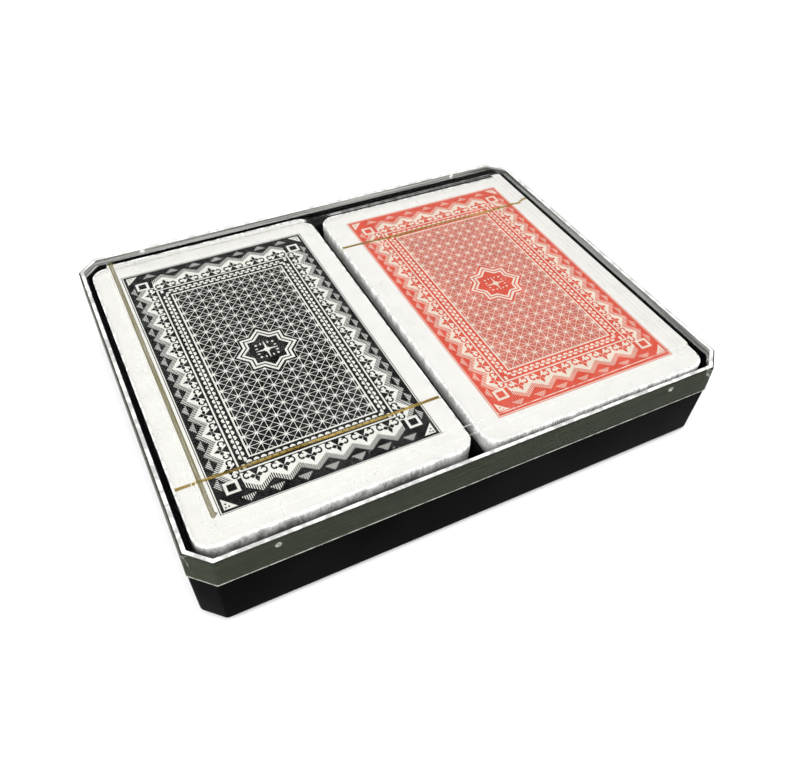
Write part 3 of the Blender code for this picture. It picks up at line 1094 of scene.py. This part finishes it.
def make_tray(plastic):
    """The tray with its rib, and the ejector and gate marks under its floor."""
    shell = moulding(tray_stations(), radius=TRAY_CORNER_RADIUS)
    tray = add_piece("tray_shell", shell, [plastic], SMOOTH_ANGLE)
    cut_with(tray, make_rib(), "UNION")
    marks = bmesh.new()
    below = FOOT_RECESS - MARK_TOOL_DROP
    for place in PIN_MARKS:
        disc(marks, PIN_MARK_RADIUS, place, below, FOOT_RECESS + PIN_MARK_DEPTH)
    disc(marks, GATE_RADIUS, GATE_PLACE, below, FOOT_RECESS + GATE_DEPTH)
    cut_with(tray, marks, "DIFFERENCE")
    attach(tray, "tray")
    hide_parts("tray")


def band_loop(bm, rings):
    """Faces between each ring of vertices and the next, and from the last back to the first."""
    for first, second in zip(rings, rings[1:] + rings[:1]):
        for i in range(len(first)):
            j = (i + 1) % len(first)
            bm.faces.new((first[i], first[j], second[j], second[i]))


def drift(x, z, field):
    """Smooth noise along the strip. field is its scale in x and z, and the plane it is read on."""
    return noise.noise(Vector((x * field[0], z * field[1], field[2])))


def make_tear_strip(side, y, gold):
    """A closed band round the deck, under the film, that wanders a little along its length."""
    half = CARD[0] / 2
    low, high = CARDS_BOTTOM, CARDS_TOP
    path = []
    corners = rectangle(-half, half, low, high)
    for (x0, z0), (x1, z1) in zip(corners, corners[1:] + corners[:1]):
        steps = max(2, round(math.hypot(x1 - x0, z1 - z0) / STRIP_STEP))
        for step in range(steps):
            share = step / steps
            path.append((x0 + (x1 - x0) * share, z0 + (z1 - z0) * share))
    middle = (low + high) / 2
    under, over = STRIP_GAPS
    bm = bmesh.new()
    rings = []
    for gap, edge in ((under, -1), (under, 1), (over, 1), (over, -1)):
        grow_x = (half + gap) / half
        grow_z = (high - middle + gap) / (high - middle)
        ring = []
        for x, z in path:
            wander = STRIP_WANDER[side] * drift(x, z, STRIP_WANDER_FIELD)
            width = STRIP_WIDTH * (1 + STRIP_WIDTH_WANDER * drift(x, z, STRIP_WIDTH_FIELD))
            along = y + wander + edge * width / 2
            ring.append(bm.verts.new((x * grow_x, along, middle + (z - middle) * grow_z)))
        rings.append(ring)
    band_loop(bm, rings)
    bmesh.ops.recalc_face_normals(bm, faces=bm.faces)
    strip = add_piece(f"{side}_gold_strip", bm, [gold], SMOOTH_ANGLE, pack_matrix(side))
    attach(strip, f"{side}_pack")
    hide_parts(f"{side}_tear_strip")


def film_rings():
    """Each ring of the film, from the middle of its top to its underside.

    A ring is its share of the outline, its growth beyond it, and its height.
    """
    rings = [(share, 0.0, PACK_TOP) for share in FILM_TOP_SHARES]
    bend = []
    for step in range(FILM_ROUND_STEPS + 1):
        angle = math.radians(90 - 90 * step / FILM_ROUND_STEPS)
        bend.append((FILM_ROUND * (math.cos(angle) - 1), FILM_ROUND * (1 - math.sin(angle))))
    rings += [(1.0, growth, PACK_TOP - drop) for growth, drop in bend]
    straight = PACK_TOP - PACK_BOTTOM - 2 * FILM_ROUND
    for step in range(1, FILM_SIDE_STEPS):
        share = step / FILM_SIDE_STEPS
        rings.append((1.0, 0.0, PACK_TOP - FILM_ROUND - share * straight))
    rings += [(1.0, growth, PACK_BOTTOM + drop) for growth, drop in reversed(bend)]
    rings += [(share, 0.0, PACK_BOTTOM) for share in FILM_UNDER_SHARES]
    return rings


def resampled(outline, spacing):
    """The same closed outline with a point about every spacing."""
    points = []
    for a, b in zip(outline, outline[1:] + outline[:1]):
        steps = max(1, round((b - a).length / spacing))
        points += [a.lerp(b, step / steps) for step in range(steps)]
    return points


def wrinkled(point, ring, inset, seed):
    """A point of the film's outline, taken to one ring and pushed by the wrinkles."""
    share, growth, height = ring
    outward = Vector((point.x / FILM_HALF[0], point.y / FILM_HALF[1])).normalized()
    flat = point * share + outward * (growth - inset)
    on_top = height > (PACK_TOP + PACK_BOTTOM) / 2
    level = height - inset if on_top else height + inset
    across, up = WAVE_SCALE
    wave = noise.noise(Vector((flat.x * across + seed, flat.y * across, level * up)))
    crease = noise.noise(Vector((flat.x * CREASE_SCALE[0], flat.y * CREASE_SCALE[1], seed)))
    push = FILM_WAVE * (WAVE_SHARE * wave + (1 - WAVE_SHARE) * crease)
    if share == 1.0:
        flat -= outward * abs(push) * SIDE_PUSH
    elif on_top:
        level += push
    return flat.x, flat.y, level


def film_skin(bm, plan, inset, seed):
    """One closed skin of the wrinkled film. The sides and their edges take the second material."""
    stations = film_rings()
    rings = [
        [bm.verts.new(wrinkled(point, station, inset, seed)) for point in plan]
        for station in stations
    ]
    faces = []
    for first, second, station in zip(rings, rings[1:], stations[1:]):
        for i in range(len(first)):
            j = (i + 1) % len(first)
            face = bm.faces.new((first[i], first[j], second[j], second[i]))
            face.material_index = 1 if station[0] == 1.0 else 0
            faces.append(face)
    faces += [bm.faces.new(rings[0]), bm.faces.new(rings[-1])]
    bmesh.ops.recalc_face_normals(bm, faces=faces)
    return faces


def fold_flap(bm, corners, end, depth):
    """A thin flap of film on one end of the deck."""
    front = [bm.verts.new((x, end * (depth + FILM_THICKNESS), z)) for x, z in corners]
    back = [bm.verts.new((x, end * depth, z)) for x, z in corners]
    faces = [bm.faces.new(front), bm.faces.new(back[::-1])]
    for i in range(len(corners)):
        j = (i + 1) % len(corners)
        faces.append(bm.faces.new((front[j], front[i], back[i], back[j])))
    bmesh.ops.recalc_face_normals(bm, faces=faces)
    for face in faces:
        face.material_index = 1


def make_wrap(side, materials):
    """The film: a thin closed shell with wrinkles, and the envelope folds at the deck's two ends."""
    bm = bmesh.new()
    plan = resampled(card_outline(FILM_REACH, steps=6), FILM_STEP)
    film_skin(bm, plan, 0.0, FILM_SEED[side])
    inner = film_skin(bm, plan, FILM_THICKNESS, FILM_SEED[side])
    bmesh.ops.reverse_faces(bm, faces=inner)
    half_x, half_y = CARD[0] / 2, CARD[1] / 2 + FILM_REACH
    middle = (PACK_TOP + PACK_BOTTOM) / 2
    for end in (-1, 1):
        for layer, (root, way) in enumerate(((PACK_TOP, -1), (PACK_BOTTOM, 1))):
            wide, narrow = half_x - FLAP_ROOT_INSET, half_x - FLAP_TIP_INSET
            base, tip = root + way * FLAP_MARGIN, middle + way * FLAP_OVERLAP
            corners = [(-wide, base), (wide, base), (narrow, tip), (-narrow, tip)]
            fold_flap(bm, corners, end, half_y + FLAP_STANDOFF + FLAP_LAYER * layer)
    wrap = add_piece(f"{side}_film", bm, materials, FILM_SMOOTH_ANGLE, pack_matrix(side))
    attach(wrap, f"{side}_pack")
    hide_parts(f"{side}_wrap")


def assign(node, material):
    """Gives a CAD node one material."""
    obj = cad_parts[node]
    obj.data.materials.clear()
    obj.data.materials.append(material)


def make_floor():
    """A plain pale floor, just under the feet."""
    bm = bmesh.new()
    bmesh.ops.create_grid(bm, x_segments=1, y_segments=1, size=FLOOR_HALF)
    bmesh.ops.translate(bm, verts=bm.verts, vec=(0.0, 0.0, -FLOOR_DROP))
    floor = add_piece("floor", bm, [floor_material()])


def make_camera():
    """The camera, aimed by its azimuth from +Y, its angle downwards and its roll."""
    azimuth = math.radians(CAMERA_AZIMUTH)
    down = math.radians(CAMERA_DOWN)
    roll = math.radians(CAMERA_ROLL)
    ahead = Vector(
        (math.cos(down) * math.sin(azimuth), math.cos(down) * math.cos(azimuth), -math.sin(down))
    )
    level = ahead.cross(Vector((0.0, 0.0, 1.0))).normalized()
    above = level.cross(ahead)
    right = level * math.cos(roll) + above * math.sin(roll)
    up = above * math.cos(roll) - level * math.sin(roll)
    data = bpy.data.cameras.new("camera")
    data.lens = CAMERA_LENS
    data.sensor_width = SENSOR_WIDTH
    data.clip_start, data.clip_end = CAMERA_CLIP_METRES
    camera = bpy.data.objects.new("camera", data)
    turn = Matrix((right, up, -ahead)).transposed()
    camera.matrix_world = Matrix.Translation(Vector(CAMERA_PLACE) * MM) @ turn.to_4x4()
    bpy.context.scene.collection.objects.link(camera)
    bpy.context.scene.camera = camera


def add_lamp(name, place, size, power):
    """A soft rectangular lamp that points at the origin."""
    data = bpy.data.lights.new(name, "AREA")
    data.shape = "RECTANGLE"
    data.size, data.size_y = size
    data.energy = power
    lamp = bpy.data.objects.new(name, data)
    lamp.location = place
    lamp.rotation_euler = (-Vector(place)).to_track_quat("-Z", "Y").to_euler()
    bpy.context.scene.collection.objects.link(lamp)


def make_world():
    """A glow low down that fades upwards, behind an even backdrop that only the camera sees."""
    world = bpy.data.worlds.new("studio")
    world.use_nodes = True
    nodes, links = world.node_tree.nodes, world.node_tree.links
    background = nodes["Background"]
    direction = nodes.new("ShaderNodeTexCoord")
    height = nodes.new("ShaderNodeSeparateXYZ")
    glow = nodes.new("ShaderNodeMapRange")
    glow.inputs["From Min"].default_value, glow.inputs["To Min"].default_value = GLOW_FROM
    glow.inputs["From Max"].default_value, glow.inputs["To Max"].default_value = GLOW_TO
    links.new(direction.outputs["Generated"], height.inputs["Vector"])
    links.new(height.outputs["Z"], glow.inputs["Value"])
    path = nodes.new("ShaderNodeLightPath")
    strength = nodes.new("ShaderNodeMix")
    strength.inputs["B"].default_value = BACKDROP
    links.new(path.outputs["Is Camera Ray"], strength.inputs["Factor"])
    links.new(glow.outputs["Result"], strength.inputs["A"])
    links.new(strength.outputs["Result"], background.inputs["Strength"])
    background.inputs["Color"].default_value = (1.0, 1.0, 1.0, 1.0)
    bpy.context.scene.world = world


def make_lights():
    make_world()
    for name, lamp in LAMPS.items():
        add_lamp(name, *lamp)
    bpy.context.scene.view_settings.view_transform = "Standard"


def main():
    tray = black_plastic()
    lid_looks = lid_materials()
    wrap = film("wrap_clear_film", painted_light_share=(0.0, 0.01), streak_scale=160.0)
    # The sides' film carries painted sheen and painted light near the top of the pack.
    fold = film("wrap_side_film_painted_sheen", painted_light_share=(0.2, 1.0), streak_scale=520.0, painted_light_below=0.12)
    strip = gold_strip()
    paper_face = coated("card_face_paper", (0.56, 0.555, 0.55), (0.6, 0.595, 0.59))
    paper_edge = coated(
        "card_edge_paper", (0.3, 0.3, 0.29), (0.66, 0.66, 0.64), roughness=0.6, grain=(0.06, 0.06, 9.0)
    )
    make_lid(lid_looks)
    make_tray(tray)
    triangles = printed_quarter()
    for side in PACKS:
        make_wrap(side, [wrap, fold])
        make_tear_strip(side, STRIP_Y[side], strip)
        for number in range(2, SINGLE_CARDS + 1):
            assign(f"{side}_card_{number:02d}", paper_edge)
        inks = print_materials(side)
        looks = [paper_face, inks[INK], paper_edge, inks[PAPER], inks[FIELD_INK]]
        make_printed_card(side, triangles, looks)
        make_lower_cards(side, paper_edge)
    make_floor()
    make_camera()
    make_lights()


main()
